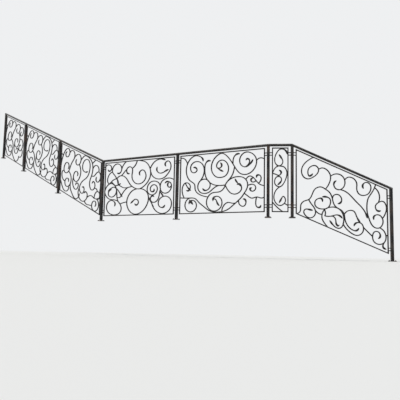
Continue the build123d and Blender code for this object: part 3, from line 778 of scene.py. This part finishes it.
# Upper panels. Three raked ones, the two long ones alike and the top one cut short. Their marks
# are set out square and take the rake with the frame.
UPPER_START = [
    ("last", [(55, 565), (75, 680), (120, 795), (185, 905), (265, 970), (335, 965), (350, 895),
         (300, 820), (228, 805), (215, 865), (262, 905)]),
    ("last", [(350, 895), (410, 965), (480, 980), (530, 940), (520, 850), (450, 750), (400, 660),
         (340, 545), (240, 480), (175, 510), (180, 600), (245, 685), (320, 690), (345, 635),
         (305, 570)]),
    ("last", [(520, 850), (590, 925), (665, 965), (735, 945), (750, 870), (700, 780), (620, 750),
         (580, 790), (610, 860)]),
    ("last", [(700, 780), (745, 720), (760, 625), (720, 520), (640, 435), (560, 425), (520, 480),
         (545, 570), (610, 620), (665, 595), (645, 535)]),
    ("last", [(340, 545), (400, 510), (440, 435), (420, 330), (340, 245), (250, 240), (225, 310),
         (280, 385), (345, 390), (345, 330)]),
    ("", [(55, 300), (110, 215), (165, 150), (235, 125), (320, 155), (370, 225), (340, 245)]),
    ("last", [(420, 330), (430, 230), (470, 180), (540, 120), (620, 100), (705, 150), (750, 250)]),
    ("last", [(520, 480), (500, 370), (540, 295), (610, 275), (680, 330), (690, 405), (630, 400),
         (600, 345)]),
    ("", [(225, 310), (160, 325), (110, 375), (120, 480), (175, 510)]),
    ("", [(120, 795), (90, 810), (38, 836)]),
]
UPPER_REST = [
    ("both", [(1000, 735), (900, 695), (832, 715), (815, 785), (850, 875), (930, 940), (1010, 945),
         (1055, 885), (1055, 790), (1020, 685), (950, 595), (860, 525), (780, 440), (740, 345),
         (770, 280), (840, 275), (895, 345), (880, 400), (820, 380)]),
    ("last", [(750, 870), (800, 930), (870, 990), (960, 1005), (1060, 985), (1130, 920), (1150, 820),
         (1120, 695), (1070, 575), (1075, 480), (1140, 435), (1215, 485), (1235, 570), (1190, 605),
         (1140, 550)]),
    ("last", [(1120, 695), (1200, 710), (1270, 785), (1340, 825), (1395, 785), (1385, 705), (1320, 635),
         (1265, 655), (1285, 725)]),
    ("", [(1150, 820), (1215, 905), (1290, 925), (1340, 885), (1340, 825)]),
    ("last", [(740, 345), (700, 250), (740, 165), (820, 130), (920, 160), (990, 235), (1000, 320),
         (950, 340), (895, 290)]),
    ("last", [(990, 235), (1070, 305), (1150, 330), (1230, 315), (1320, 320), (1370, 255), (1350, 165),
         (1280, 100), (1200, 95), (1160, 155), (1190, 235), (1260, 270), (1290, 225), (1250, 170)]),
    ("", [(920, 160), (990, 125), (1080, 140), (1160, 155)]),
    ("last", [(1230, 315), (1260, 415), (1320, 465), (1390, 445), (1370, 355), (1310, 345)]),
    ("", [(1385, 705), (1420, 625), (1400, 530), (1390, 445)]),
    ("", [(1130, 920), (1165, 952), (1236, 1020)]),
    ("", [(1320, 465), (1270, 505), (1215, 485)]),
    ("", [(1370, 255), (1395, 245), (1420, 235)]),
]
lay_panel(2, UPPER_START + UPPER_REST, board_right=1395.0)
lay_panel(1, UPPER_START + UPPER_REST, board_right=1395.0)
lay_panel(0, UPPER_START + [
    ("last", [(750, 870), (820, 930), (890, 915), (910, 845), (870, 760), (800, 730), (780, 780),
         (830, 830)]),
    ("last", [(760, 625), (830, 660), (895, 630), (915, 545), (870, 440), (780, 380), (735, 425),
         (770, 505), (830, 505)]),
    ("", [(750, 250), (820, 245), (890, 315), (905, 400), (870, 440)]),
], board_right=955.0)

# Lower panel. Raked too: rings with leaves fill its bottom left corner, waves of bar run along its
# top, and a long bar comes down near the right stile and winds into a ring.
lay_panel(6, [
    ("first", [(297, 233), (232, 221), (180, 198), (162, 155), (185, 115), (230, 101), (280, 123),
         (320, 172), (334, 235), (305, 290), (268, 322), (235, 365)]),
    ("both", [(438, 415), (420, 460), (370, 435), (332, 385), (330, 320), (370, 300), (440, 315),
         (510, 360), (552, 435), (545, 510), (495, 515), (430, 485)]),
    ("last", [(530, 62), (488, 102), (450, 137), (428, 185), (434, 250), (465, 315), (530, 375),
         (610, 415), (683, 419), (732, 380), (751, 320), (747, 258), (728, 190), (686, 141),
         (636, 130), (585, 152), (540, 197)]),
    ("last", [(560, 262), (605, 293), (658, 322), (706, 320), (731, 300)]),
    ("last", [(470, 230), (538, 251), (590, 273), (624, 256), (633, 215), (640, 182), (664, 168),
         (684, 192)]),
    ("", [(332, 250), (380, 225), (431, 232)]),
    ("", [(470, 230), (480, 280), (465, 315)]),
    ("last", [(480, 620), (550, 595), (585, 525), (605, 460), (650, 425), (715, 415), (757, 370),
         (768, 305), (795, 245), (850, 205), (930, 210), (975, 270)]),
    ("last", [(585, 525), (612, 592), (664, 623), (708, 609), (722, 565), (704, 520), (660, 487)]),
    ("last", [(735, 235), (790, 175), (860, 145), (950, 150), (1020, 215), (1040, 305), (1000, 350),
         (930, 320), (900, 260)]),
    ("", [(480, 620), (400, 620), (330, 560), (290, 475), (235, 365), (170, 315), (120, 240),
         (110, 145), (60, 85)]),
    ("first", [(300, 775), (240, 715), (225, 780), (270, 865), (345, 905), (382, 870), (360, 795),
         (300, 720), (220, 660), (160, 665), (130, 730), (150, 820), (210, 915), (292, 1003),
         (318, 1028)]),
    ("", [(382, 870), (450, 920), (520, 910), (560, 845), (545, 750), (480, 620)]),
    ("last", [(560, 845), (640, 915), (720, 930), (770, 880), (760, 785), (700, 710), (630, 700),
         (610, 765), (650, 820)]),
    ("last", [(770, 880), (830, 950), (905, 960), (950, 910), (950, 820), (990, 765), (1060, 780),
         (1120, 830), (1160, 915), (1150, 980), (1090, 985), (1040, 925), (1055, 875)]),
    ("last", [(1235, 1020), (1180, 880), (1120, 765), (1098, 650), (1103, 540), (1130, 460),
         (1155, 410), (1210, 375), (1280, 400), (1330, 480), (1325, 560), (1270, 585), (1205, 540),
         (1200, 480)]),
    ("last", [(700, 710), (790, 715), (870, 680), (940, 635), (1010, 595), (1075, 530), (1103, 460)]),
    ("last", [(757, 370), (830, 460), (900, 480), (940, 425), (1000, 350)]),
    ("last", [(1280, 400), (1340, 385), (1375, 320), (1350, 220), (1280, 160), (1200, 160), (1175, 230),
         (1210, 315), (1270, 330), (1290, 285), (1255, 230)]),
    ("", [(1040, 305), (1100, 270), (1175, 230)]),
    ("last", [(1330, 560), (1380, 670), (1388, 765), (1340, 812), (1270, 765), (1225, 690), (1250, 640),
         (1310, 665)]),
    ("", [(1270, 765), (1290, 855), (1270, 925), (1216, 962)]),
    ("", [(1375, 320), (1398, 342), (1420, 365)]),
    ("last", [(1350, 220), (1330, 140), (1380, 130)]),
], board_right=1391.0)

# Floor. Not part of the balustrade: a pale disc under its lowest foot takes its shadow and fades
# into the background far out. The disc's sizes are in metres.
FLOOR_PALE = (0.80, 0.80, 0.79, 1)
BACKGROUND_PALE = (0.86, 0.87, 0.88, 1)
FLOOR_RADII = np.array([0.02, 2, 4, 8, 16, 30, 60])
FLOOR_SIDES = 64
FLOOR_MIDDLE = 0.5
FLOOR_BELOW = 0.001
FLOOR_ROUGH = 0.9
FADE_FROM, FADE_TO = 5.0, 16.0
radii = FLOOR_RADII[:, None]
turn = np.arange(FLOOR_SIDES) * 2 * math.pi / FLOOR_SIDES
disc = np.stack([radii * np.cos(turn), radii * np.sin(turn), np.zeros((len(radii), len(turn)))], -1)
disc += [FLOOR_MIDDLE, 0, feet[:, 2].min() / METRE - FLOOR_BELOW]
index = np.arange(len(radii) * FLOOR_SIDES).reshape(-1, FLOOR_SIDES)
beside = np.roll(index, -1, axis=1)
faces = np.stack([index[:-1], index[1:], beside[1:], beside[:-1]], -1).reshape(-1, 4)
floor_mesh = bpy.data.meshes.new("floor")
floor_mesh.from_pydata(disc.reshape(-1, 3).tolist(), [], faces.tolist() + [index[0].tolist()])
floor = bpy.data.objects.new("floor", floor_mesh)
bpy.context.scene.collection.objects.link(floor)
floor_paint = bpy.data.materials.new("floor_pale")
floor_paint.use_nodes = True
tree = floor_paint.node_tree
near_by = tree.nodes["Principled BSDF"]
feed(tree, near_by, {"Base Color": FLOOR_PALE, "Roughness": FLOOR_ROUGH})
far_off = node_in(tree, "Emission", {"Color": BACKGROUND_PALE})
place = node_in(tree, "TexCoord").outputs["Object"]
distance = node_in(tree, "VectorMath", {0: place}, operation="LENGTH").outputs["Value"]
fade = node_in(tree, "MapRange", {"Value": distance, "From Min": FADE_FROM, "From Max": FADE_TO},
               interpolation_type="SMOOTHSTEP").outputs["Result"]
faded = node_in(tree, "MixShader", {0: fade, 1: near_by.outputs[0], 2: far_off.outputs[0]})
feed(tree, tree.nodes["Material Output"], {"Surface": faded.outputs[0]})
floor_mesh.materials.append(floor_paint)

# Light and background. An even pale sky lights the iron, and looks paler to the camera, in gloss
# and through glass. A wide soft sun shines from high at the front left, a weaker one from behind.
SKY_LIGHT = (0.90, 0.95, 1.0, 1)
SKY_STRENGTH = 0.45
SUN_SPREAD = 28.0
world = bpy.data.worlds.new("pale_sky")
bpy.context.scene.world = world
world.use_nodes = True
tree = world.node_tree
sky = tree.nodes["Background"]
feed(tree, sky, {"Color": SKY_LIGHT, "Strength": SKY_STRENGTH})
seen = node_in(tree, "Background", {"Color": BACKGROUND_PALE})
path = node_in(tree, "LightPath").outputs
sees_it = path["Is Camera Ray"]
for ray in ("Is Glossy Ray", "Is Transmission Ray"):
    sees_it = node_in(tree, "Math", {0: sees_it, 1: path[ray]}, operation="MAXIMUM").outputs[0]
split = node_in(tree, "MixShader", {0: sees_it, 1: sky.outputs[0], 2: seen.outputs[0]})
feed(tree, tree.nodes["World Output"], {"Surface": split.outputs[0]})


def soft_sun(name, shines, strength, colour):
    """A wide soft sun that shines along a direction, so that all of the iron is lit alike."""
    lamp = bpy.data.lights.new(name, "SUN")
    lamp.angle = math.radians(SUN_SPREAD)
    lamp.energy = strength
    lamp.color = colour
    holder = bpy.data.objects.new(name, lamp)
    bpy.context.scene.collection.objects.link(holder)
    level = math.hypot(shines[0], shines[1])
    holder.rotation_euler = (math.atan2(level, -shines[2]), 0,
                             math.atan2(shines[1], shines[0]) - math.pi / 2)


soft_sun("key", shines=(2.8, 7.5, -8.5), strength=2.2, colour=(1.0, 0.96, 0.90))
soft_sun("back", shines=(-3.5, -7.5, -5.5), strength=0.5, colour=(0.92, 0.96, 1.0))

# Camera. It stands in front, beyond the right end and about as low as the last foot, and looks up
# and to the left with a slight roll. Its place is in metres.
PLACE = np.array([5.6942, -6.4990, -0.5096])
VIEW = np.array([-0.4972, 0.8676, 0.0])
PITCH_UP, ROLL = math.radians(6.14), math.radians(1.14)
LENS = 43.99
SEES_TO = 200
level_right = np.array([VIEW[1], -VIEW[0], 0.0])
ahead = VIEW * math.cos(PITCH_UP) + np.array([0, 0, math.sin(PITCH_UP)])
above = np.array([0, 0, math.cos(PITCH_UP)]) - VIEW * math.sin(PITCH_UP)
camera_right = level_right * math.cos(ROLL) + above * math.sin(ROLL)
camera_up = above * math.cos(ROLL) - level_right * math.sin(ROLL)
pose = np.eye(4)
pose[:3, :4] = np.stack([camera_right, camera_up, -ahead, PLACE], -1)
camera = bpy.data.objects.new("camera", bpy.data.cameras.new("camera"))
camera.data.sensor_fit = "HORIZONTAL"
camera.data.lens = LENS
camera.data.clip_end = SEES_TO
camera.matrix_world = pose.T.tolist()
bpy.context.scene.collection.objects.link(camera)
bpy.context.scene.camera = camera
bpy.context.scene.view_settings.view_transform = "Standard"
